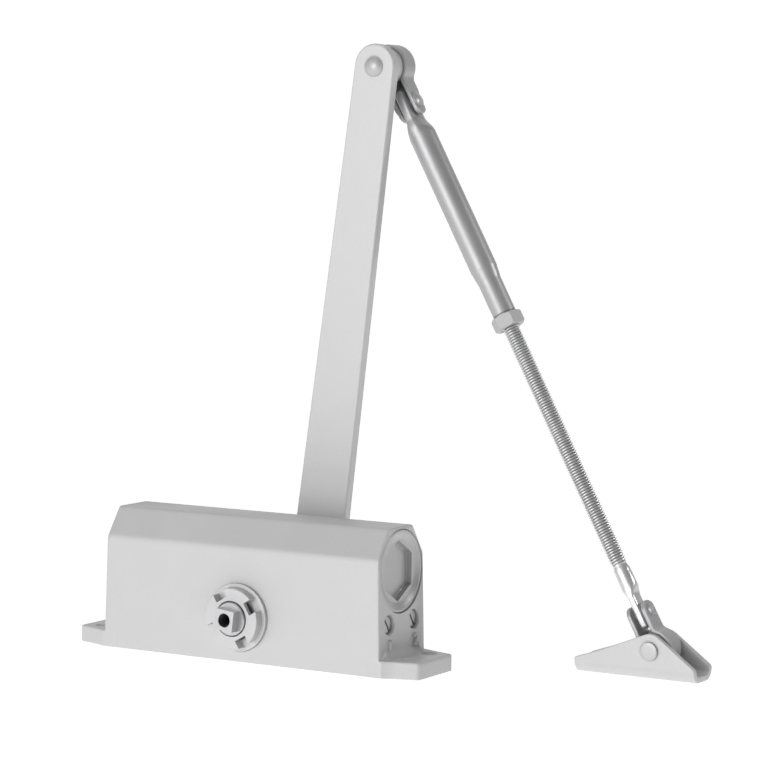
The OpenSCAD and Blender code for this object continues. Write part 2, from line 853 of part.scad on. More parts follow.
module shoe_bracket() {
    outer_bend = 5.5;
    left_hole = -27;
    right_hole = 14.5;
    color(silver) translate([shoe_x, shoe_y, 0]) difference() {
        intersection() {
            slab_x(-far, far) difference() {
                channel_section(0, outer_bend);
                channel_section(shoe_t, outer_bend - shoe_t);
            }
            slab_y(-shoe_w, shoe_w) shoe_side_outline();
        }
        translate([0, 0, shoe_pin_z]) along_y(shoe_pin_r + gap / 2, -far, far);
        for (x = [left_hole, right_hole]) translate([x, 0, 0]) {
            along_z(shoe_hole_r, -1, shoe_t + 1);
            translate([0, 0, shoe_t - 1.5]) cylinder(r1 = shoe_hole_r, r2 = shoe_hole_r + 1.6, h = 1.6);
        }
    }
}

// ---- Assembly ----

body_casing();
end_plug_right();
end_plug_left();
plug_seals();
bearing_cap_front();
bearing_cap_back();
cap_seals();
bearing_cups();
needle_rollers();
shaft_seals();
thrust_washers();
pinion_shaft();
rack_piston();
piston_seal();
piston_guide_ring();
check_ball();
check_ball_retainer();
closing_spring();
spring_washer();
valve_screw_1();
valve_screw_2();
valve_seal_1();
valve_seal_2();
main_arm();
arm_screw();
arm_washer();
elbow_rivet();
elbow_spacer();
elbow_yoke();
elbow_cross_pin();
forearm_tube();
lock_nut();
threaded_rod();
link_cross_pin();
shoe_link();
shoe_pin();
shoe_bracket();
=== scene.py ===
import json
from math import asin, cos, pi, radians, sin, sqrt

import bmesh
import bpy
import numpy as np
from mathutils import Matrix, Vector


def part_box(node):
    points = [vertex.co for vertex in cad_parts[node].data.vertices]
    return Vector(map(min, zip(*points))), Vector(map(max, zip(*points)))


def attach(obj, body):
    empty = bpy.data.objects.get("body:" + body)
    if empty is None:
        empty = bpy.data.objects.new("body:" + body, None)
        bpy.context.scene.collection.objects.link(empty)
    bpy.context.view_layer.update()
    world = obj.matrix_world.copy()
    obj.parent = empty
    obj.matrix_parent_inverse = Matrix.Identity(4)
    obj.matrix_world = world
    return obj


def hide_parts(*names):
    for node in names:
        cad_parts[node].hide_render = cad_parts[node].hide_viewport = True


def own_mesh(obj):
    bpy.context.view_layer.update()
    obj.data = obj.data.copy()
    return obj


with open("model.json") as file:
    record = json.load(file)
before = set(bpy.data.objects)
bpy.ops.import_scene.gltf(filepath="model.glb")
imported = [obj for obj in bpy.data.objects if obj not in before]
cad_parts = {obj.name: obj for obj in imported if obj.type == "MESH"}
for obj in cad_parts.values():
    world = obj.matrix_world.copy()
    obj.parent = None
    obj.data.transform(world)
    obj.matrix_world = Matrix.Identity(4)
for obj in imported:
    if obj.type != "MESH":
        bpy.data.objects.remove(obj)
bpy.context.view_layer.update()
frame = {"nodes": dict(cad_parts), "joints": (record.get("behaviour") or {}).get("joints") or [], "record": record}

MM = 0.001
ON_AXIS = 1e-4      # radius used for points on an axis, in millimetres
WELD = 2e-7         # points closer than this are one, in metres
JOINTS = {j["name"]: j for j in frame["joints"]}


# ---- Places, all taken from the joints of the frame ----

def joint_point(name):
    """Joint's point in millimetres."""
    return Vector(JOINTS[name]["pos_m"]) / MM


def place(origin, x_axis, y_axis, z_axis):
    """Matrix from a local frame in millimetres to the row frame in metres."""
    m = Matrix.Identity(4)
    for column, axis in enumerate((x_axis, y_axis, z_axis)):
        for row in range(3):
            m[row][column] = axis[row]
    return Matrix.Scale(MM, 4) @ Matrix.Translation(origin) @ m


X_AXIS, Y_AXIS, Z_AXIS = Vector((1, 0, 0)), Vector((0, 1, 0)), Vector((0, 0, 1))
pinion_at = joint_point("arm_swing")
pinion_at.y = 0
elbow_at = joint_point("elbow_pivot")
elbow_at.y = 0
cross_at = joint_point("elbow_tilt")
link_pin_at = joint_point("link_tilt")
shoe_at = joint_point("shoe_pivot")

ARM_UP = (elbow_at - pinion_at).normalized()
ARM_LEN = (elbow_at - pinion_at).length
ACROSS = -Vector(JOINTS["elbow_tilt"]["axis"]).normalized()
DOWN = Vector((ACROSS.z, 0, -ACROSS.x))
ROD_DOWN = Vector(JOINTS["rod_adjust"]["axis"]).normalized()
CROSS_D = 20.0      # elbow axis to the tilting pin
LINK_SPAN = (shoe_at - link_pin_at).length

BODY = place(Vector((0, 0, 0)), X_AXIS, Y_AXIS, Z_AXIS)
PINION = place(pinion_at, X_AXIS, Y_AXIS, Z_AXIS)
ARM = place(pinion_at, Y_AXIS.cross(ARM_UP), Y_AXIS, ARM_UP)
ELBOW = place(elbow_at, Y_AXIS.cross(DOWN), Y_AXIS, DOWN)
FOREARM = place(cross_at - CROSS_D * ROD_DOWN, -ACROSS, ROD_DOWN.cross(-ACROSS), ROD_DOWN)
LINK = place(shoe_at, -ACROSS, Y_AXIS, DOWN)
SHOE = place(Vector((shoe_at.x, shoe_at.y, 0)), X_AXIS, Y_AXIS, Z_AXIS)


# ---- Mesh helpers, in local millimetres ----

def new_piece(name, points, faces, to_row, smooth_angle=None):
    """Object from local points in millimetres and faces."""
    mesh = bpy.data.meshes.new(name)
    mesh.from_pydata([tuple(p) for p in points], [], [tuple(f) for f in faces])
    mesh.transform(to_row)
    if to_row.determinant() < 0:
        mesh.flip_normals()
    mesh.validate()
    piece = bpy.data.objects.new(name, mesh)
    bpy.context.scene.collection.objects.link(piece)
    shade(piece, smooth_angle)
    return piece


def shade(piece, smooth_angle=None):
    """Smooth shading, with creases sharper than smooth_angle degrees kept."""
    mesh = piece.data
    mesh.polygons.foreach_set("use_smooth", [True] * len(mesh.polygons))
    if smooth_angle is not None:
        mesh.set_sharp_from_angle(angle=radians(smooth_angle))
    mesh.update()


def apply_modifiers(piece):
    """Puts the modifiers' result into the mesh."""
    depsgraph = bpy.context.evaluated_depsgraph_get()
    mesh = bpy.data.meshes.new_from_object(piece.evaluated_get(depsgraph))
    piece.modifiers.clear()
    old = piece.data
    piece.data = mesh
    bpy.data.meshes.remove(old)


def cut(piece, cutters, operation="DIFFERENCE", smooth_angle=30):
    """Boolean with each cutter, which is then removed."""
    for cutter in cutters:
        modifier = piece.modifiers.new("cut", "BOOLEAN")
        modifier.operation = operation
        modifier.solver = "MANIFOLD"
        modifier.object = cutter
    apply_modifiers(piece)
    for cutter in cutters:
        bpy.data.objects.remove(cutter)
    shade(piece, smooth_angle)
    return piece


def even_shading(piece):
    """Large flat faces keep flat shading up to their rounded edges."""
    modifier = piece.modifiers.new("even", "WEIGHTED_NORMAL")
    modifier.keep_sharp = True
    modifier.weight = 80
    apply_modifiers(piece)


def join(pieces, name):
    """Joins pieces into one, under that name."""
    merged = bmesh.new()
    for p in pieces:
        merged.from_mesh(p.data)
    mesh = bpy.data.meshes.new(name)
    merged.to_mesh(mesh)
    merged.free()
    for p in pieces:
        bpy.data.objects.remove(p)
    whole = bpy.data.objects.new(name, mesh)
    bpy.context.scene.collection.objects.link(whole)
    return whole


def ring_faces(rings, per_ring, close_rings=False):
    """Quads between rings of points, with the last ring joined to the first if close_rings."""
    faces = []
    for i in range(rings if close_rings else rings - 1):
        a, b = i * per_ring, (i + 1) % rings * per_ring
        for k in range(per_ring):
            n = (k + 1) % per_ring
            faces.append((a + k, b + k, b + n, a + n))
    return faces


def turned(name, profile, to_row, axis="Y", segments=96, smooth_angle=30):
    """Solid turned from a profile of (radius, height) points round an axis. A profile whose ends
    are both off the axis closes on itself as a ring."""
    ring = profile[0][0] > 0 and profile[-1][0] > 0
    points, faces = [], []
    for r, h in profile:
        for k in range(segments):
            a = 2 * pi * k / segments
            u, v = max(r, ON_AXIS) * cos(a), max(r, ON_AXIS) * sin(a)
            points.append({"X": (h, u, v), "Y": (v, h, u), "Z": (u, v, h)}[axis])
    faces = ring_faces(len(profile), segments, ring)
    if not ring:
        faces.append(tuple(range(segments)))
        faces.append(tuple(reversed(range((len(profile) - 1) * segments, len(points)))))
    piece = new_piece(name, points, faces, to_row)
    face_outward(piece)
    shade(piece, smooth_angle)
    return piece


def face_outward(piece):
    """Welds points that lie together and turns all faces outward."""
    work = bmesh.new()
    work.from_mesh(piece.data)
    bmesh.ops.remove_doubles(work, verts=work.verts, dist=WELD)
    bmesh.ops.recalc_face_normals(work, faces=work.faces)
    work.to_mesh(piece.data)
    work.free()


def arc(centre, r, start, stop, steps):
    """Points of an arc, angles in degrees."""
    return [(centre[0] + r * cos(radians(start + (stop - start) * i / steps)),
             centre[1] + r * sin(radians(start + (stop - start) * i / steps)))
            for i in range(steps + 1)]


def prism(name, outline, low, high, to_row, axis="Y", smooth_angle=30):
    """Straight solid over an outline. The outline is (x, z) for Y, (y, z) for X, (x, y) for Z."""
    n = len(outline)
    points = []
    for h in (low, high):
        for u, v in outline:
            points.append({"X": (h, u, v), "Y": (u, h, v), "Z": (u, v, h)}[axis])
    faces = ring_faces(2, n) + [tuple(range(n)), tuple(reversed(range(n, 2 * n)))]
    piece = new_piece(name, points, faces, to_row)
    face_outward(piece)
    shade(piece, smooth_angle)
    return piece


def loft(name, stations, to_row, per_ring=64, smooth_angle=50):
    """Bar along local Z through (z, half x, half y, power) sections, closed at both ends."""
    points = []
    for z, a, b, power in stations:
        for k in range(per_ring):
            t = 2 * pi * k / per_ring
            c, s = cos(t), sin(t)
            points.append((a * abs(c) ** (2 / power) * (1 if c >= 0 else -1),
                           b * abs(s) ** (2 / power) * (1 if s >= 0 else -1), z))
    faces = ring_faces(len(stations), per_ring)
    faces += [tuple(range(per_ring)),
              tuple(reversed(range(len(points) - per_ring, len(points))))]
    piece = new_piece(name, points, faces, to_row)
    face_outward(piece)
    shade(piece, smooth_angle)
    return piece


def flat_profile(r, height, base):
    """Half of a flat head with a rounded edge."""
    edge, crown, fall = 0.55, 0.03, 0.08
    return [(0, base + height), (r * 0.6, base + height - crown)] + \
        [(r - edge + edge * sin(t), base + height - fall - edge * (1 - cos(t)))
         for t in np.linspace(0.2, pi / 2, 6)] + [(r, base)]


def dome_profile(r, height, base):
    """Half of a domed head standing on height base: out from the axis and down."""
    ball = (r * r + height * height) / (2 * height)
    lip, reach = 0.35, 0.94
    crown = [(ball * sin(t), base + height - ball * (1 - cos(t)))
             for t in np.linspace(0, asin(r / ball) * reach, 14)]
    return crown + [(r, base + lip), (r, base)]


# ---- Rounded solids from distance functions ----

def round_max(a, b, r):
    """Intersection of two distances with an edge of radius r."""
    return np.minimum(np.maximum(a, b), -r) + np.sqrt(
        np.maximum(a + r, 0) ** 2 + np.maximum(b + r, 0) ** 2)


def round_min(a, b, r):
    """Union of two distances with a fillet of radius r."""
    return np.maximum(np.minimum(a, b), r) - np.sqrt(
        np.maximum(r - a, 0) ** 2 + np.maximum(r - b, 0) ** 2)


def outline_distance(u, v, outline):
    """Signed distance in a plane to a closed outline, negative inside."""
    best = np.full(u.shape, 1e9)
    inside = np.zeros(u.shape, bool)
    for i, (u1, v1) in enumerate(outline):
        u0, v0 = outline[i - 1]
        du, dv = u1 - u0, v1 - v0
        t = np.clip(((u - u0) * du + (v - v0) * dv) / (du * du + dv * dv), 0, 1)
        best = np.minimum(best, (u - u0 - t * du) ** 2 + (v - v0 - t * dv) ** 2)
        if v0 != v1:
            crosses = ((v0 > v) != (v1 > v)) & (u < (v - v0) / dv * du + u0)
            inside ^= crosses
    return np.sqrt(best) * np.where(inside, -1, 1)


def from_distance(name, distance, low, high, voxel, to_row, plain_x=None):
    """Mesh of distance(x, y, z) = 0: a surface net, pulled onto the exact surface. Between the two
    values of plain_x the shape doesn't change along X, and gets long cells."""
    long_cell, pulls, step, least_slope = 8.0, 4, 0.02, 0.2
    low, high = np.array(low, float) - 2 * voxel, np.array(high, float) + 2 * voxel
    axes = [low[i] + voxel * np.arange(int(np.ceil((high[i] - low[i]) / voxel)) + 1)
            for i in range(3)]
    if plain_x:
        between = np.arange(plain_x[0], plain_x[1], long_cell)
        axes[0] = np.concatenate([axes[0][axes[0] < plain_x[0] - voxel / 2], between,
                                  axes[0][axes[0] > between[-1] + voxel]])
    counts = np.array([len(a) for a in axes])
    grid = np.meshgrid(*axes, indexing="ij")
    value = distance(*grid)
    inside = value < 0
    total = np.zeros(tuple(counts - 1) + (3,))
    crossings = np.zeros(tuple(counts - 1), int)
    corner = [slice(0, -1), slice(1, None)]
    for axis in range(3):
        others = [i for i in range(3) if i != axis]
        for p in (0, 1):
            for q in (0, 1):
                near, far = [None] * 3, [None] * 3
                near[axis], far[axis] = corner[0], corner[1]
                near[others[0]] = far[others[0]] = corner[p]
                near[others[1]] = far[others[1]] = corner[q]
                a, b = value[tuple(near)], value[tuple(far)]
                hit = (a < 0) != (b < 0)
                t = np.where(hit, a / np.where(hit, a - b, 1), 0)
                total[..., axis] += np.where(hit, t, 0)
                total[..., others[0]] += np.where(hit, p, 0)
                total[..., others[1]] += np.where(hit, q, 0)
                crossings += hit
    used = crossings > 0
    index = np.full(crossings.shape, -1)
    index[used] = np.arange(used.sum())
    cell = np.argwhere(used)
    share = total[used] / crossings[used][:, None]
    first, second = ([axes[i][cell[:, i] + k] for i in range(3)] for k in (0, 1))
    points = np.stack([first[i] + share[:, i] * (second[i] - first[i]) for i in range(3)], axis=1)
    faces = []
    for axis in range(3):
        others = [(axis + 1) % 3, (axis + 2) % 3]
        near, far = [slice(None)] * 3, [slice(None)] * 3
        near[axis], far[axis] = slice(0, -1), slice(1, None)
        changed = inside[tuple(near)] != inside[tuple(far)]
        spots = np.argwhere(changed)
        keep = np.all([(spots[:, o] > 0) & (spots[:, o] < counts[o] - 1) for o in others], axis=0)
        spots = spots[keep]
        corners = []
        for du, dv in ((-1, -1), (0, -1), (0, 0), (-1, 0)):
            c = spots.copy()
            c[:, others[0]] += du
            c[:, others[1]] += dv
            corners.append(index[tuple(c.T)])
        quad = np.stack(corners, axis=1)
        outward = inside[tuple(near)][tuple(spots.T)]
        quad[~outward] = quad[~outward][:, ::-1]
        faces.append(quad)
    faces = np.concatenate(faces)
    for _ in range(pulls):
        d = distance(*points.T)
        slope = np.stack([distance(*(points + step * np.eye(3)[i]).T)
                          - distance(*(points - step * np.eye(3)[i]).T)
                          for i in range(3)], axis=1) / (2 * step)
        size = np.maximum((slope ** 2).sum(1), least_slope)
        move = -(d / size)[:, None] * slope
        points = points + np.clip(move, -voxel / 3, voxel / 3)
    return new_piece(name, points.tolist(), faces.tolist(), to_row)


# ---- Materials ----

MOTTLE_SIZE = 0.02              # lengths in metres
EDGE_WIDTH = 0.0004
RELIEF = 0.0003
ROUGHNESS_SPREAD = 0.04
# Edges whose normals differ get a painted highlight: full at the first cosine below, none at the second.
EDGE_FULL_HIGHLIGHT, EDGE_NO_HIGHLIGHT = 0.90, 0.995     # cosine between the true and the rounded normal


def multiply(tree, first, second):
    """Product of two node outputs."""
    n = tree.nodes.new("ShaderNodeMath")
    n.operation = "MULTIPLY"
    tree.links.new(first, n.inputs[0])
    tree.links.new(second, n.inputs[1])
    return n.outputs[0]


def material(name, colour, roughness, metallic=0.0, grain=0.03, grain_size=0.0004,
             bump=0.06, bump_size=0.0007, mottling=0.02, edge_highlight=0.12):
    """Lacquer or metal with slow mottling, a fine grain, edges lightened as a painted highlight and a fine bump.
    """
    m = bpy.data.materials.new(name)
    m.use_nodes = True
    nodes, links = m.node_tree.nodes, m.node_tree.links
    shader = nodes["Principled BSDF"]
    shader.inputs["Metallic"].default_value = metallic
    where = nodes.new("ShaderNodeTexCoord")

    def noise(size, detail):
        n = nodes.new("ShaderNodeTexNoise")
        n.inputs["Scale"].default_value = 1 / size
        n.inputs["Detail"].default_value = detail
        links.new(where.outputs["Object"], n.inputs["Vector"])
        return n.outputs["Fac"]

    def spread(source, low, high, start=0.3, stop=0.7):
        r = nodes.new("ShaderNodeMapRange")
        r.inputs["From Min"].default_value = start
        r.inputs["From Max"].default_value = stop
        r.inputs["To Min"].default_value = low
        r.inputs["To Max"].default_value = high
        links.new(source, r.inputs["Value"])
        return r.outputs["Result"]

    fine = noise(grain_size, 2)
    slow = noise(MOTTLE_SIZE, 3)
    rounded = nodes.new("ShaderNodeBevel")
    rounded.samples = 4
    rounded.inputs["Radius"].default_value = EDGE_WIDTH
    true = nodes.new("ShaderNodeNewGeometry")
    alike = nodes.new("ShaderNodeVectorMath")
    alike.operation = "DOT_PRODUCT"
    links.new(rounded.outputs["Normal"], alike.inputs[0])
    links.new(true.outputs["Normal"], alike.inputs[1])
    # Painted highlight: rounded edges are made lighter, by up to the given amount.
    highlit_edges = spread(alike.outputs["Value"], 1 + edge_highlight, 1, EDGE_FULL_HIGHLIGHT, EDGE_NO_HIGHLIGHT)
    patches = multiply(m.node_tree, spread(fine, 1 - grain, 1 + grain),
                       spread(slow, 1 - mottling, 1 + mottling))
    tone = multiply(m.node_tree, patches, highlit_edges)
    tint = nodes.new("ShaderNodeVectorMath")
    tint.operation = "SCALE"
    tint.inputs[0].default_value = colour
    links.new(tone, tint.inputs["Scale"])
    links.new(tint.outputs[0], shader.inputs["Base Color"])
    links.new(spread(slow, roughness - ROUGHNESS_SPREAD, roughness + ROUGHNESS_SPREAD),
              shader.inputs["Roughness"])
    relief = nodes.new("ShaderNodeBump")
    relief.inputs["Strength"].default_value = bump
    relief.inputs["Distance"].default_value = RELIEF
    links.new(noise(bump_size, 3), relief.inputs["Height"])
    links.new(relief.outputs["Normal"], shader.inputs["Normal"])
    return m


LOOKS = {
    "casing_paint": material("casing_lacquer", (0.48, 0.48, 0.485), 0.50, 0.15),
    "plug_paint": material("plug_lacquer", (0.42, 0.42, 0.425), 0.36, 0.45),
    "cap_paint": material("cap_lacquer", (0.49, 0.49, 0.495), 0.45, 0.2),
    "shaft_steel": material("shaft_zinc", (0.44, 0.44, 0.45), 0.34, 0.75),
    "valve_steel": material("valve_zinc", (0.45, 0.45, 0.46), 0.38, 0.5),
    "screw_steel": material("screw_zinc", (0.55, 0.55, 0.56), 0.32, 0.7),
    "arm_paint": material("arm_lacquer", (0.49, 0.49, 0.495), 0.45, 0.15),
    "rivet_paint": material("rivet_lacquer", (0.42, 0.42, 0.425), 0.38, 0.3),
    "knuckle_paint": material("knuckle_lacquer", (0.38, 0.38, 0.385), 0.42, 0.3),
    "tube_paint": material("tube_lacquer", (0.38, 0.38, 0.385), 0.42, 0.5, bump=0.03,
                           mottling=0.01),
    "rod_zinc": material("rod_zinc_plate", (0.62, 0.62, 0.63), 0.34, 0.6),
    "shoe_paint": material("shoe_lacquer", (0.48, 0.48, 0.485), 0.45, 0.15),
    "inner_steel": material("ground_steel", (0.45, 0.45, 0.46), 0.28, 0.95, bump=0.03),
    "spring_steel": material("spring_wire", (0.05, 0.05, 0.055), 0.35, 0.9),
    "guide_plastic": material("guide_plastic", (0.70, 0.66, 0.55), 0.5),
    "rubber": material("seal_rubber", (0.02, 0.02, 0.02), 0.7, bump=0.1),
}
# Near-black painted shade for the inside of the tapped holes in the shaft ends.
HOLE_SHADE = material("painted_hole_shade", (0.008, 0.008, 0.008), 0.6)
# Darker painted shade for the floors of the rod thread's grooves.
THREAD_ROOT_SHADE = material("thread_root_shade", (0.16, 0.16, 0.16), 0.5, 0.3)
NUT = material("nut_zinc", (0.36, 0.36, 0.365), 0.42, 0.25)


def finish_piece(piece, body, slot, *replaced, look=None):
    """Gives a piece its body and the material of its slot, and hides the nodes that it stands for."""
    piece.data.materials.clear()
    piece.data.materials.append(look or LOOKS[slot])
    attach(piece, body)
    if replaced:
        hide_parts(*replaced)
    return piece


# ---- Casing ----

def node_size(node):
    """Lowest and highest corner of a CAD node in millimetres."""
    low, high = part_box(node)
    return low / MM, high / MM


FOOT_HALF, HALF_W, BODY_H = node_size("body_casing")[1]
HALF_LEN = 75.0
END_DRAFT = 0.023
SIDE_DRAFT = 0.013
CHAMFER_Z = 52.1
TOP_HALF_W = 10.76
FOOT_T = 7.8
CYL_Z = 45.55
VALVE_Y = 11.0
VALVE_Z = 22.6
# Plan lines of a foot, as a, b and c in a|x| + b|y| = c: its tapering side, and its root.
FOOT_SIDE = (0.2813, 0.9596, 40.27)
FOOT_ROOT = (0.5145, 0.8575, 56.51)


def past_line(x, y, line):
    a, b, c = line
    return a * np.abs(x) + b * np.abs(y) - c


def casing_distance(x, y, z):
    """Block with a chamfered top, two feet, and a fillet between them."""
    block_edge, top_edge, foot_edge, base_edge = 0.9, 1.0, 0.9, 0.4
    corner_r, root_r, fillet_r = 1.5, 1.0, 4.5
    side_w = HALF_W - SIDE_DRAFT * CHAMFER_Z
    nx, nz = BODY_H - CHAMFER_Z, side_w - TOP_HALF_W
    size = sqrt(nx * nx + nz * nz)
    side = np.abs(y) - (HALF_W - SIDE_DRAFT * z)
    chamfer = (nx * (np.abs(y) - side_w) + nz * (z - CHAMFER_Z)) / size
    section = round_max(round_max(side, chamfer, block_edge), z - BODY_H, top_edge)
    ends = np.abs(x) - (HALF_LEN - END_DRAFT * z)
    block = round_max(section, ends, block_edge)
    flank = round_min(past_line(x, y, FOOT_SIDE), past_line(x, y, FOOT_ROOT), root_r)
    plan = round_max(np.abs(x) - FOOT_HALF, flank, corner_r)
    plan = np.maximum(plan, np.abs(y) - HALF_W)
    feet = round_max(plan, z - FOOT_T, foot_edge)
    feet = np.maximum(feet, (HALF_LEN - 6) - np.abs(x))
    fillet = fillet_r * np.clip((HALF_W - corner_r - np.abs(y)) / 4, 0.02, 1)
    return round_max(round_min(block, feet, fillet), -z, base_edge)


def y_rod(r, y0, y1, at, segments=96):
    """Round cutter along Y."""
    return turned("cutter", [(0, y0), (r, y0), (r, y1), (0, y1)], at, "Y", segments)


def x_rod(r, x0, x1, y, z, segments=96):
    """Round cutter along X."""
    at = BODY @ Matrix.Translation((0, y, z))
    return turned("cutter", [(0, x0), (r, x0), (r, x1), (0, x1)], at, "X", segments)


def countersunk(r, head_r, cone, top, at):
    """Cutter for a countersunk hole along Z, with the heights where its cone starts and ends."""
    return turned("cutter", [(0, -1), (r, -1), (r, cone[0]), (head_r, cone[1]), (head_r, top),
                             (0, top)], at, "Z", 48)


def casing():
    """Casing with all of its bores."""
    voxel, plain, beyond = 0.6, 66, 100
    plug_r, plug_deep, bore_r = 19.05, 13, 17.5
    cap_r, cap_seat, cup_r, cup_seat, pinion_r = 16.0, 20.0, 14.05, 14.5, 13.0
    recess_r, recess_deep, valve_bore_r = 4.3, 2.6, 4.05
    hole_x, hole_y = 83, 9.5
    piece = from_distance("casing", casing_distance,
                          (-FOOT_HALF, -HALF_W, 0), (FOOT_HALF, HALF_W, BODY_H), voxel, BODY,
                          plain_x=(-plain, plain))
    cutters = []
    for side in (-1, 1):
        cutters.append(x_rod(plug_r, side * (HALF_LEN - plug_deep), side * beyond, 0, CYL_Z, 160))
        cutters.append(y_rod(cap_r, side * cap_seat, side * 30, PINION))
        cutters.append(y_rod(cup_r, side * cup_seat, side * (cap_seat + 0.5), PINION))
        mouth = HALF_LEN - END_DRAFT * VALVE_Z
        at = BODY @ Matrix.Translation((0, side * VALVE_Y, VALVE_Z))
        cutters.append(turned("cutter", [(0, mouth - recess_deep), (recess_r, mouth - recess_deep),
                                         (recess_r, mouth - 0.7), (4.75, mouth - 0.1),
                                         (4.9, beyond), (0, beyond)], at, "X", 64))
        cutters.append(x_rod(valve_bore_r, 50, 80, side * VALVE_Y, VALVE_Z, 64))
        for sx in (-1, 1):
            at = BODY @ Matrix.Translation((sx * hole_x, side * hole_y, 0))
            cutters.append(countersunk(2.8, 4.3, (6.6, 8.1), 12, at))
    cutters.append(x_rod(bore_r, -80, 80, 0, CYL_Z, 128))
    cutters.append(y_rod(pinion_r, -30, 30, PINION))
    cut(piece, cutters, smooth_angle=28)
    even_shading(piece)
    return finish_piece(piece, "closer_body", "casing_paint", "body_casing")


def stroke(name, path, width, height, to_row):
    """Raised rounded stroke along a path of (y, z) points, standing out along +X."""
    rows = []
    n = len(path)
    around = [(-width / 2, 0), (-width / 2, height * 0.6), (-width / 4, height),
              (width / 4, height), (width / 2, height * 0.6), (width / 2, 0)]
    for i, (u, v) in enumerate(path):
        u0, v0 = path[max(i - 1, 0)]
        u1, v1 = path[min(i + 1, n - 1)]
        length = sqrt((u1 - u0) ** 2 + (v1 - v0) ** 2)
        nu, nv = -(v1 - v0) / length, (u1 - u0) / length
        rows += [(h, u + nu * o, v + nv * o) for o, h in around]
    per = len(around)
    ends = [tuple(range(per)), tuple(reversed(range((n - 1) * per, n * per)))]
    faces = ring_faces(n, per) + ends
    piece = new_piece(name, rows, faces, to_row)
    face_outward(piece)
    shade(piece, 50)
    return piece


def valve_digits():
    """Raised 1 and 2 under the two regulating screws."""
    digit_z, width, height, sunk = 13.4, 1.5, 1.35, 0.25
    face_x = HALF_LEN - END_DRAFT * digit_z - sunk
    one = [(-0.75, 1.35), (-0.2, 1.75), (0.12, 2.3), (0.12, 0.8), (0.12, -0.8), (0.12, -2.3)]
    two = arc((0, 1.0), 1.25, 165, -35, 10) + [(0.3, -0.6), (-0.7, -1.6), (-1.25, -2.15),
                                              (-0.4, -2.15), (0.5, -2.15), (1.35, -2.15)]
    strokes = []
    for side, path in ((-1, one), (1, two)):
        at = BODY @ Matrix.Translation((face_x, side * VALVE_Y, digit_z))
        strokes.append(stroke("digit", path, width, height, at))
    piece = join(strokes, "valve_digits")
    return finish_piece(piece, "closer_body", "casing_paint")


# ---- Parts on the body ----

def hexagon(r, turn=0.0):
    """Corners of a hexagon of corner radius r."""
    return [(r * sin(pi * k / 3 + turn), r * cos(pi * k / 3 + turn)) for k in range(6)]


def end_plug(name, node, side):
    """End plug with a dished face and a hexagon socket."""
    low, high = node_size(node)
    face = high.x if side > 0 else -low.x
    inner = low.x if side > 0 else -high.x
    r = (high.y - low.y) / 2 - 0.12
    across, depth, dish = 24.0, 4.0, 1.3
    core_r, core_len = 17.4, 4
    at = BODY @ Matrix.Translation((0, 0, CYL_Z)) @ Matrix.Diagonal((side, 1, 1, 1))
    hex_r = across / 2 / cos(pi / 6)
    profile = [(0, face - dish), (hex_r + 0.4, face - dish), (hex_r + 0.9, face - dish + 0.1),
               (r - 2.0, face - 0.35), (r - 1.6, face - 0.08), (r - 1.2, face), (r - 0.3, face),
               (r, face - 0.3), (r, inner + core_len), (core_r, inner + core_len),
               (core_r, inner), (0, inner)]
    piece = turned(name, profile, at, "X", 160, 40)
    socket = prism("cutter", hexagon(hex_r), face - depth, face + 2, at, "X")
    cut(piece, [socket], smooth_angle=24)
    modifier = piece.modifiers.new("cast_edges", "BEVEL")
    modifier.width = 0.35 * MM
    modifier.segments = 3
    modifier.limit_method = "ANGLE"
    modifier.angle_limit = radians(40)
    apply_modifiers(piece)
    shade(piece, 40)
    even_shading(piece)
    return finish_piece(piece, "closer_body", "plug_paint", node)


def bearing_cap(name, node, side):
    """Cap with a raised disc, four spanner notches and a flange."""
    at = PINION @ Matrix.Diagonal((1, side, 1, 1))
    face, root, landing, end, bore_end = 26.5, 21.85, 20.0, 15.1, 21.4
    shaft_r, cup_r, disc_r, flange_r, edge = 8.2, 11.03, 14.0, 15.7, 0.5
    notch_w, notch_in, notch_out, first_notch = 6.2, 9.75, 16, -31
    profile = [(shaft_r, face - 0.15), (shaft_r + 0.15, face), (disc_r - edge, face)] + \
        arc((disc_r - edge, face - edge), edge, 75, 0, 5) + \
        [(disc_r, root + 0.4), (disc_r + 0.15, root + 0.1), (disc_r + 0.4, root),
         (flange_r - 0.5, root), (flange_r - 0.15, root - 0.12), (flange_r, root - 0.45),
         (flange_r, landing + 0.02), (disc_r, landing + 0.02), (disc_r, end),
         (cup_r, end), (cup_r, bore_end), (shaft_r, bore_end)]
    piece = turned(name, profile, at, "Y", 144, 35)
    cutters = []
    for k in range(4):
        turn = at @ Matrix.Rotation(radians(first_notch - 90 * k), 4, "Y")
        cutters.append(prism("cutter", [(notch_in, -notch_w / 2), (notch_out, -notch_w / 2),
                                        (notch_out, notch_w / 2), (notch_in, notch_w / 2)],
                             root + 0.01, face + 1, turn, "Y"))
    cut(piece, cutters, smooth_angle=35)
    even_shading(piece)
    return finish_piece(piece, "closer_body", "cap_paint", node)


def valve_screw(number, side):
    """Slotted regulating screw with a needle tip."""
    node = f"valve_screw_{number}"
    low, high = node_size(node)
    at = BODY @ Matrix.Translation((0, side * VALVE_Y, VALVE_Z))
    face = high.x
    head_r, head_len, core_r, tip_len = 4.0, 12, 2.8, 5
    slot_w, slot_deep, slot_turn = 1.1, 1.9, 35
    profile = [(0, face), (3.4, face), (3.7, face - 0.15), (3.85, face - 0.5),
               (head_r, face - 1.5), (head_r, face - head_len), (core_r, face - head_len),
               (core_r, low.x + tip_len), (1.6, low.x + tip_len), (0.9, low.x), (0, low.x)]
    piece = turned(f"valve_{number}_screw", profile, at, "X", 64)
    slot = prism("cutter", [(-slot_w / 2, -5), (slot_w / 2, -5), (slot_w / 2, 5), (-slot_w / 2, 5)],
                 face - slot_deep, face + 1,
                 at @ Matrix.Rotation(radians(slot_turn), 4, "X"), "X")
    cut(piece, [slot])
    even_shading(piece)
    return finish_piece(piece, f"valve_{number}", "valve_steel", node)


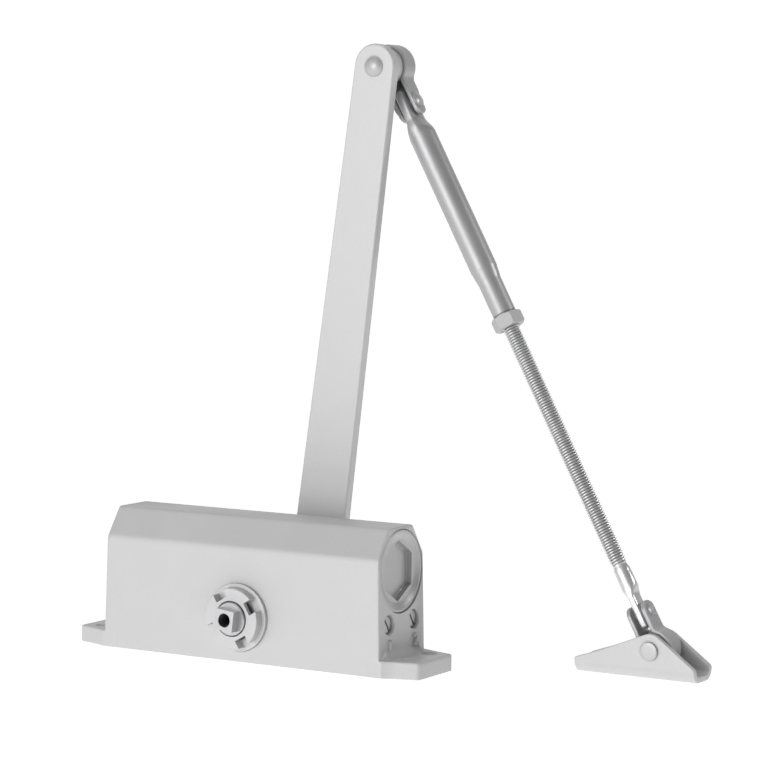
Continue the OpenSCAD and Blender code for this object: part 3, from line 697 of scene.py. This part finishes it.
def pinion_shaft():
    """CAD shaft between the journals, with worked ends in place of its plain ones."""
    collar, tip, square_w, core_to = 27.15, 32.0, 9.5, 24.0
    journal_r, neck_r, blank_r = 7.98, 7.7, 6.7
    thread_r, crest_r, pitch, hole_deep = 2.98, 2.52, 1.0, 14
    middle = bpy.data.objects.new("middle", frame["nodes"]["pinion_shaft"].data.copy())
    bpy.context.scene.collection.objects.link(middle)
    face_outward(middle)
    cut(middle, [y_rod(20, -core_to, core_to, PINION)], "INTERSECT")
    ends = []
    for side in (-1, 1):
        at = PINION @ Matrix.Diagonal((1, side, 1, 1))
        turn = ARM @ Matrix.Diagonal((1, side, 1, 1))
        end = turned("end", [(0, core_to), (journal_r, core_to), (journal_r, core_to + 1),
                             (neck_r, core_to + 1.3), (neck_r, collar - 0.4),
                             (neck_r - 0.4, collar), (0, collar)], at, "Y", 96)
        blank = turned("square", [(0, collar - 1), (blank_r, collar - 1), (blank_r, tip - 0.3),
                                  (blank_r - 0.2, tip), (0, tip)], turn, "Y", 96)
        w = square_w / 2
        sides = prism("cutter", [(-w, -w), (w, -w), (w, w), (-w, w)], collar - 2, tip + 1, turn)
        cut(blank, [sides], "INTERSECT", 25)
        cut(end, [blank], "UNION", 25)
        hole = [(0, tip - hole_deep), (2.5, tip - hole_deep)]
        depth = tip - 1.2
        while depth > tip - hole_deep + pitch / 2:
            hole.insert(2, (thread_r, depth))
            hole.insert(2, (crest_r, depth - pitch / 2))
            depth -= pitch
        hole += [(3.05, tip - 0.3), (3.3, tip + 0.05), (3.3, tip + 1), (0, tip + 1)]
        cut(end, [turned("hole", hole, at, "Y", 48)], smooth_angle=25)
        even_shading(end)
        ends.append(end)
    piece = finish_piece(join([middle] + ends, "shaft_worked"), "pinion_and_arm", "shaft_steel",
                         "pinion_shaft")
    axis = PINION @ Vector((0, 0, 0))
    # The thread faces inside the tapped holes get the near-black painted shade.
    piece.data.materials.append(HOLE_SHADE)
    for face in piece.data.polygons:
        out = Vector((face.center.x - axis.x, face.center.z - axis.z)).length / MM
        if out < thread_r + 0.04 and abs(face.center.y) / MM < tip - 0.1:
            face.material_index = 1
    return piece


def closing_spring():
    """Copy of the CAD spring, on a mesh of its own."""
    coils = bpy.data.objects.new("spring_coils", frame["nodes"]["closing_spring"].data.copy())
    bpy.context.scene.collection.objects.link(coils)
    finish_piece(coils, "closer_body", "spring_steel", "closing_spring")
    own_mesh(coils)
    return coils


# ---- Main arm ----

def ease(t):
    """Smooth step from 0 to 1."""
    t = min(max(t, 0), 1)
    return (1 - cos(pi * t)) / 2


def flat_plate(name, half_outline, thickness, edge_r, mid_y, to_row):
    """Plate in X and Z, symmetric about X = 0, over (z, half width) points, with rounded edges.
    mid_y(z) gives the place of its middle plane."""
    n = len(half_outline)
    outline = np.array([(w, z) for z, w in half_outline]
                       + [(-w, z) for z, w in reversed(half_outline)])
    ahead, behind = np.roll(outline, -1, 0), np.roll(outline, 1, 0)
    tangent = ahead - behind
    tangent /= np.maximum(np.linalg.norm(tangent, axis=1), 1e-9)[:, None]
    normal = np.stack([tangent[:, 1], -tangent[:, 0]], 1)
    steps, slope = 5, 0.5
    layers = [(edge_r * (1 - sin(t)), -thickness / 2 + edge_r * (1 - cos(t)))
              for t in np.linspace(0, pi / 2, steps)]
    layers += [(inset, -y) for inset, y in reversed(layers)]
    points = []
    for inset, y in layers:
        for (w, z), (nw, nz) in zip(outline, normal):
            z0 = z - nz * inset
            rise = (mid_y(z0 + slope) - mid_y(z0 - slope)) / (2 * slope)
            k = sqrt(1 + rise * rise)
            points.append((w - nw * inset, mid_y(z0) + y / k, z0 - y * rise / k))
    m = 2 * n
    faces = ring_faces(len(layers), m)
    for start, flip in ((0, False), ((len(layers) - 1) * m, True)):
        for i in range(n - 1):
            f = (start + i, start + i + 1, start + m - 2 - i, start + m - 1 - i)
            faces.append(f[::-1] if flip else f)
    piece = new_piece(name, points, faces, to_row)
    face_outward(piece)
    shade(piece, 50)
    return piece


def main_arm():
    """Flat bar with a joggle between its hub and its long part."""
    thickness, edge_r = 5.4, 0.9
    hub_y, front_y = 27.2, node_size("main_arm")[1].y - thickness
    hub_r, tip_r, on_line = 13.9, 10.5, 0.02
    bend = (16, 38)

    def middle(z):
        return hub_y + thickness / 2 + (front_y - hub_y) * ease((z - bend[0]) / (bend[1] - bend[0]))

    lean = asin((hub_r - tip_r) / ARM_LEN)
    start = [(-hub_r * cos(t), max(hub_r * sin(t), on_line))
             for t in np.linspace(0, pi / 2 + lean, 20)]
    stop = [(ARM_LEN + tip_r * sin(t), max(tip_r * cos(t), on_line))
            for t in np.linspace(lean, pi / 2, 20)]
    z0, z1 = start[-1][0], stop[0][0]
    w0, w1 = start[-1][1], stop[0][1]
    fine = np.linspace(bend[0] - 1, bend[1] + 1, 33)
    between = [*np.linspace(z0, bend[0] - 2, 4)[1:], *fine,
               *np.linspace(bend[1] + 5, z1, 30)[:-1]]
    sides = [(z, w0 + (w1 - w0) * (z - z0) / (z1 - z0)) for z in between]
    piece = flat_plate("arm", start + sides + stop, thickness, edge_r, middle, ARM)
    even_shading(piece)
    return finish_piece(piece, "pinion_and_arm", "arm_paint", "main_arm")


def pin_set(name, at, along, other, third, face, shank_r, head_r, head_h, body, node,
            profile=dome_profile):
    """Pin along one axis, with a head on each end that stands face away from its middle."""
    parts = [turned("shank", [(0, -face - 0.2), (shank_r, -face - 0.2), (shank_r, face + 0.2),
                              (0, face + 0.2)], place(at, other, along, third))]
    for side in (-1, 1):
        parts.append(turned("head", profile(head_r, head_h, face + 0.05),
                            place(at, other, side * along, third)))
    finish_piece(join(parts, name), body, "rivet_paint", node)


def rivets():
    """Domed heads on both ends of each rivet."""
    low, high = node_size("elbow_rivet")
    front, back = 41.7, high.y - 1.75
    front_r, back_r, shank_r = 4.85, 4.6, 3
    elbow = join([
        turned("head", dome_profile(front_r, front - low.y, 0),
               place(elbow_at + Vector((0, front, 0)), X_AXIS, -Y_AXIS, Z_AXIS)),
        turned("head", dome_profile(back_r, high.y - back, 0),
               place(elbow_at + Vector((0, back, 0)), X_AXIS, Y_AXIS, Z_AXIS)),
        turned("shank", [(0, front - 0.7), (shank_r, front - 0.7), (shank_r, back + 0.2),
                         (0, back + 0.2)],
               place(elbow_at, X_AXIS, Y_AXIS, Z_AXIS))], "elbow_rivet_domed")
    finish_piece(elbow, "pinion_and_arm", "rivet_paint", "elbow_rivet")
    pin_set("elbow_cross_pin_domed", cross_at, ACROSS, Y_AXIS, DOWN, face=5.5, shank_r=2.5,
            head_r=3.9, head_h=1.3, body="elbow", node="elbow_cross_pin")
    pin_set("link_cross_pin_domed", link_pin_at, ACROSS, Y_AXIS, DOWN, face=5.0, shank_r=2.0,
            head_r=3.0, head_h=0.7, body="link", node="link_cross_pin")
    pin_set("shoe_pin_domed", shoe_at, Y_AXIS, X_AXIS, Z_AXIS, face=9.65, shank_r=3.0,
            head_r=4.4, head_h=1.2, body="shoe", node="shoe_pin", profile=flat_profile)


def arm_fastening():
    """Hexagon screw and washer that hold the arm on the shaft."""
    face, washer_t, washer_r, bore_r = 32.6, 1.6, 10, 3.2
    head_h, head_r, shank_r = 5.6, 5.75, 2.45
    head = turned("head", [(0, face + head_h), (4.6, face + head_h), (head_r, face + 5.0),
                           (head_r, face + 1.7), (0, face + 1.7)], ARM, "Y", 96)
    sides = prism("cutter", hexagon(head_r + 0.02), face + 1, face + 7, ARM, "Y")
    cut(head, [sides], "INTERSECT", 25)
    shank = turned("shank", [(0, face - 10), (shank_r, face - 10), (shank_r, face + 1.8),
                             (0, face + 1.8)], ARM, "Y", 48)
    finish_piece(join([head, shank], "arm_hex_screw"), "pinion_and_arm", "screw_steel", "arm_screw")
    washer = turned("arm_washer_ring", [(bore_r, face + 0.05), (washer_r - 0.3, face + 0.05),
                                        (washer_r, face + 0.3), (washer_r, face + 1.35),
                                        (washer_r - 0.3, face + washer_t),
                                        (bore_r, face + washer_t)], ARM)
    finish_piece(washer, "pinion_and_arm", "screw_steel", "arm_washer")


# ---- Stamped knuckles ----

def knuckle(name, node, body, to_row, cup_r, ear_w, ear_end, sign, front, back, edge, tip_mid,
            tip_half, web_end):
    """Drawn sheet knuckle: a round cup with two ears. Z runs from the cup to the ears times sign.
    The sheet spans Y from front to back, and its web between the ears stops at web_end."""
    t, neck_r, front_edge, bend_r, voxel = 2.0, 1.2, 0.5, 1.0, 0.4

    def shape(x, y, z):
        d = z * sign
        cup = np.sqrt(x * x + d * d) - cup_r
        strip = np.maximum(np.abs(x) - ear_w, -d)
        plan = round_min(cup, strip, neck_r)
        inner_cup = np.sqrt(x * x + d * d) - (cup_r - t)
        inner_strip = np.maximum(np.abs(x) - (ear_w - t), -d)
        hollow_plan = round_min(inner_cup, inner_strip, neck_r)
        outer = round_max(plan, y - back, edge)
        outer = round_max(outer, front - y, front_edge)
        tip = round_max(d - ear_end, np.abs(y - tip_mid) - tip_half, tip_half - 0.3)
        narrowing = np.clip((d - web_end) / 6, 0, 1)
        narrow_back = back - narrowing * (back - tip_mid - tip_half)
        outer = round_max(outer, y - narrow_back, front_edge)
        outer = round_max(outer, np.where(d > ear_end - 2 * tip_half, tip, -5.0), front_edge)
        hollow = round_max(hollow_plan, y - (back - t), bend_r)
        through = np.maximum(np.abs(x) - (ear_w - t), web_end - d)
        return round_max(outer, -np.minimum(hollow, through), 0.45)

    low = (-cup_r, front, -cup_r if sign > 0 else -ear_end)
    high = (cup_r, back, ear_end if sign > 0 else cup_r)
    piece = from_distance(name, shape, low, high, voxel, to_row)
    return finish_piece(piece, body, "knuckle_paint", node)


# ---- Forearm ----

def forearm_tube():
    """Tube pressed flat at its upper end and drawn in at its lower end. A station is its place
    along the tube, its two half widths and its section's power: 2 is round."""
    r, neck, flat_t, flat_w, square = 6.35, 5.5, 2.6, 6.0, 4.5
    flat_from, round_to, steps = 28.0, 36.5, 14
    stations = [(12.9, 0.6, 3.6, 3), (13.0, 1.6, 4.4, 3.4), (13.5, 2.3, 5.3, 4)]
    stations += [(z, flat_t, flat_w, square) for z in np.linspace(15, flat_from, 6)]
    for i in range(1, steps + 1):
        t = i / steps
        s = ease(t)
        stations.append((flat_from + (round_to - flat_from) * t, flat_t + (r - flat_t) * s,
                         flat_w + (r - flat_w) * s + 0.5 * sin(pi * t),
                         square - (square - 2) * ease(t * 1.15)))
    stations += [(z, r, r, 2) for z in (45, 60, 80, 100, 105.6)]
    stations += [(106.1, r - 0.05, r - 0.05, 2), (106.6, r - 0.2, r - 0.2, 2),
                 (109, 5.95, 5.95, 2), (111.3, 5.62, 5.62, 2), (112.2, neck, neck, 2)]
    stations += [(120, neck, neck, 2), (128.3, neck, neck, 2), (128.6, neck - 0.1, neck - 0.1, 2),
                 (128.8, neck - 0.7, neck - 0.7, 2), (129.3, neck - 0.75, neck - 0.75, 2)]
    piece = loft("forearm_pipe", stations, FOREARM, 72)
    even_shading(piece)
    return finish_piece(piece, "forearm", "tube_paint", "forearm_tube")


def lock_nut():
    """Hexagon nut, chamfered on both faces."""
    across, tall, z0 = 13.0, 6.5, 129.35
    hex_r = across / 2 / cos(pi / 6)
    bore_r, face_r, rim, drop = 4.0, 6.2, 0.1, 0.85
    blank = turned("hex_nut", [(bore_r, z0 + 0.5), (bore_r + 0.5, z0), (face_r, z0),
                               (hex_r + rim, z0 + drop), (hex_r + rim, z0 + tall - drop),
                               (face_r, z0 + tall), (bore_r + 0.5, z0 + tall),
                               (bore_r, z0 + tall - 0.5)], FOREARM, "Z", 96)
    sides = prism("cutter", hexagon(hex_r, pi / 4), z0 - 1, z0 + tall + 1, FOREARM, "Z")
    cut(blank, [sides], "INTERSECT", 22)
    even_shading(blank)
    return finish_piece(blank, "forearm", "rod_zinc", "lock_nut", look=NUT)


def threaded_rod():
    """Rod with a real helical thread on a core, and a blade pressed flat at its lower end."""
    pitch, crest, root = 1.25, 3.97, 3.15
    start, stop, weld = 101.0, 257.0, 5e-6
    per_turn = 28
    steps = int((stop - start - pitch) / pitch * per_turn)
    shape = [(0.0, root), (0.2, root), (0.52, crest), (0.70, crest), (1.0, root)]
    points, faces = [], []
    fade = 3.0 * per_turn
    for i in range(steps + 1):
        a = 2 * pi * i / per_turn
        keep = min(1, i / per_turn, (steps - i) / fade)
        for f, r in shape:
            rr = root + (r - root) * max(keep, 0)
            points.append((rr * cos(a), rr * sin(a), start + pitch * (i / per_turn + f)))
    k = len(shape)
    for i in range(steps):
        for j in range(k - 1):
            a = i * k + j
            faces.append((a, a + k, a + k + 1, a + 1))
    thread = new_piece("thread", points, faces, FOREARM)
    work = bmesh.new()
    work.from_mesh(thread.data)
    bmesh.ops.remove_doubles(work, verts=work.verts, dist=weld)
    work.to_mesh(thread.data)
    work.free()
    shade(thread, 40)
    core = turned("core", [(0, start - 0.5), (root + 0.01, start - 0.5), (root + 0.01, stop - 2),
                           (3.6, stop - 0.5), (3.9, stop + 0.5), (3.9, stop + 2), (0, stop + 2)],
                  FOREARM, "Z", 56)
    shank_r, flat_from, flat_len, flat_steps = 3.95, 265, 6, 12
    stations = [(256.2, 3.45, 3.45, 2), (257.6, 3.88, 3.88, 2), (264, shank_r, shank_r, 2)]
    for i in range(flat_steps + 1):
        t = i / flat_steps
        s = ease(t)
        stations.append((flat_from + flat_len * t, shank_r - 2.15 * s, shank_r + 0.1 * s,
                         2 + 2.5 * ease(t * 1.2)))
    stations += [(z, 1.8, 4.05, 4.5) for z in (273, 276, 279.5, 282)]
    stations += [(284.5, 1.8, 3.9, 4), (285.5, 1.7, 3.6, 3.6), (285.9, 1.4, 3.1, 3),
                 (286, 0.9, 2.6, 3)]
    blade = loft("blade", stations, FOREARM, 64)
    piece = join([core, thread, blade], "rod_with_thread")
    shade(piece, 40)
    finish_piece(piece, "rod", "rod_zinc", "threaded_rod")
    # Faces at the thread's root and on the core get the darker material: painted shade in the grooves.
    piece.data.materials.append(THREAD_ROOT_SHADE)
    near_axis = (root + 0.1) * MM
    start_at, along = FOREARM @ Vector((0, 0, 0)), ROD_DOWN
    for face in piece.data.polygons:
        out = face.center - start_at
        if (out - out.dot(along) * along).length < near_axis and out.dot(along) < stop * MM:
            face.material_index = 1
    return piece


# ---- Shoe ----

def shoe():
    """Bent channel with a round crown over the pin and two countersunk holes in its base."""
    low, high = node_size("shoe_bracket")
    half_w, t, bend = (high.y - low.y) / 2, 2.8, 5.5
    left, right = low.x - shoe_at.x, high.x - shoe_at.x
    pin_z, crown, end_z, corner, voxel = shoe_at.z, 7.7, 7.0, 2.5, 0.42
    wall_edge, base_edge = 0.45, 0.1
    outline = [(left, -2), (right, -2)] + arc((right - corner, end_z - 2), corner, 0, 55, 6) \
        + arc((0, pin_z), crown, 55.2, 111.4, 14) + [(-24.3, 11.4), (left + 0.6, end_z + 0.2),
                                                     (left, end_z - 0.3)]

    def shape(x, y, z):
        outer = round_max(np.abs(y) - half_w, -z, bend)
        inner = round_max(np.abs(y) - (half_w - t), t - z, bend - t)
        wall = np.maximum(outer, -inner)
        return round_max(round_max(wall, outline_distance(x, z, outline), wall_edge), -z, base_edge)

    piece = from_distance("shoe_channel", shape, (left, -half_w, 0), (right, half_w, high.z),
                          voxel, SHOE)
    holes = [countersunk(2.5, 4.1, (1.3, 2.85), 5, SHOE @ Matrix.Translation((x, 0, 0)))
             for x in (-27.0, 14.5)]
    cut(piece, holes, smooth_angle=35)
    even_shading(piece)
    return finish_piece(piece, "shoe", "shoe_paint", "shoe_bracket")


# ---- Stage ----

def camera():
    """Camera of the front right view. Its focal length is given in pixels of the frame."""
    eye = Vector((746.18, -1153.06, 241.04))
    yaw, pitch, roll = radians(30.617), radians(4.773), radians(0.649)
    sensor, focal, frame_width, far = 36, 3005.1, 768, 100
    ahead = Vector((-sin(yaw) * cos(pitch), cos(yaw) * cos(pitch), -sin(pitch)))
    right = Vector((cos(yaw), sin(yaw), 0))
    up = right.cross(ahead)
    right, up = cos(roll) * right + sin(roll) * up, -sin(roll) * right + cos(roll) * up
    data = bpy.data.cameras.new("camera")
    data.sensor_width = sensor
    data.lens = sensor * focal / frame_width
    data.clip_end = far
    cam = bpy.data.objects.new("camera", data)
    turn = Matrix((right, up, -ahead)).transposed().to_4x4()
    cam.matrix_world = Matrix.Translation(eye * MM) @ turn
    bpy.context.scene.collection.objects.link(cam)
    bpy.context.scene.camera = cam


def floor():
    """Floor under the lowest point that the arms reach as they swing."""
    half, z, white, glow = 40.0, -0.6, 0.85, 0.70
    mesh = bpy.data.meshes.new("floor")
    corners = [(-half, -half, z), (half, -half, z), (half, half, z), (-half, half, z)]
    mesh.from_pydata(corners, [], [(0, 1, 2, 3)])
    plane = bpy.data.objects.new("floor", mesh)
    m = bpy.data.materials.new("pale_floor")
    m.use_nodes = True
    shader = m.node_tree.nodes["Principled BSDF"]
    shader.inputs["Base Color"].default_value = (white, white, white, 1)
    shader.inputs["Roughness"].default_value = 0.95
    shader.inputs["Emission Color"].default_value = (1, 1, 1, 1)
    shader.inputs["Emission Strength"].default_value = glow
    mesh.materials.append(m)
    bpy.context.scene.collection.objects.link(plane)


def area_light(name, at, aim, size, power):
    data = bpy.data.lights.new(name, "AREA")
    data.shape = "DISK"
    data.size = size
    data.energy = power
    light = bpy.data.objects.new(name, data)
    light.location = at
    light.rotation_euler = (Vector(aim) - Vector(at)).to_track_quat("-Z", "Y").to_euler()
    bpy.context.scene.collection.objects.link(light)


def studio():
    """Bright room whose right side and ceiling are dimmer, so that planes part from each other."""
    world = bpy.data.worlds.new("studio")
    bpy.context.scene.world = world
    world.use_nodes = True
    nodes, links = world.node_tree.nodes, world.node_tree.links
    back = nodes["Background"]
    back.inputs["Strength"].default_value = 1.05
    where = nodes.new("ShaderNodeTexCoord")
    split = nodes.new("ShaderNodeSeparateXYZ")
    links.new(where.outputs["Generated"], split.inputs[0])

    def fade(axis, start, stop, dim):
        r = nodes.new("ShaderNodeMapRange")
        r.interpolation_type = "SMOOTHSTEP"
        r.inputs["From Min"].default_value = start
        r.inputs["From Max"].default_value = stop
        r.inputs["To Min"].default_value = 1
        r.inputs["To Max"].default_value = dim
        links.new(split.outputs[axis], r.inputs["Value"])
        return r.outputs["Result"]

    light = fade("Z", 0.25, 0.75, 0.40)
    for side in (fade("X", 0.1, 0.5, 0.10), fade("X", -0.68, -0.95, 0.35)):
        light = multiply(world.node_tree, light, side)
    links.new(light, back.inputs["Color"])
    aim = (0.05, 0, 0.12)
    area_light("key", (-0.4, -2.1, 0.35), aim, 1.4, 20)
    area_light("top", (-0.2, 0.2, 2.2), aim, 1.4, 10)
    area_light("strip", (2.1, 1.1, 1.3), aim, 0.25, 16)
    bpy.context.scene.view_settings.view_transform = "Standard"


camera()
floor()
studio()
for node, obj in frame["nodes"].items():
    slot_name = next(s["material_slot"] for s in frame["record"]["subparts"] if s["node"] == node)
    obj.data.materials.clear()
    obj.data.materials.append(LOOKS[slot_name])
casing()
valve_digits()
end_plug("plug_right", "end_plug_right", 1)
end_plug("plug_left", "end_plug_left", -1)
bearing_cap("cap_front", "bearing_cap_front", -1)
bearing_cap("cap_back", "bearing_cap_back", 1)
valve_screw(1, -1)
valve_screw(2, 1)
pinion_shaft()
closing_spring()
main_arm()
rivets()
arm_fastening()
knuckle("elbow_stamping", "elbow_yoke", "elbow", ELBOW, cup_r=10.4, ear_w=5.5, ear_end=27.0,
        sign=1, front=53.3, back=64.6, edge=3.2, tip_mid=57.4, tip_half=4.1, web_end=11.5)
knuckle("shoe_link_stamping", "shoe_link", "link", LINK, cup_r=9.3, ear_w=5.0,
        ear_end=LINK_SPAN + 5, sign=-1, front=-5.8, back=5.8, edge=1.8, tip_mid=0.0, tip_half=5.8,
        web_end=9.5)
forearm_tube()
lock_nut()
threaded_rod()
shoe()
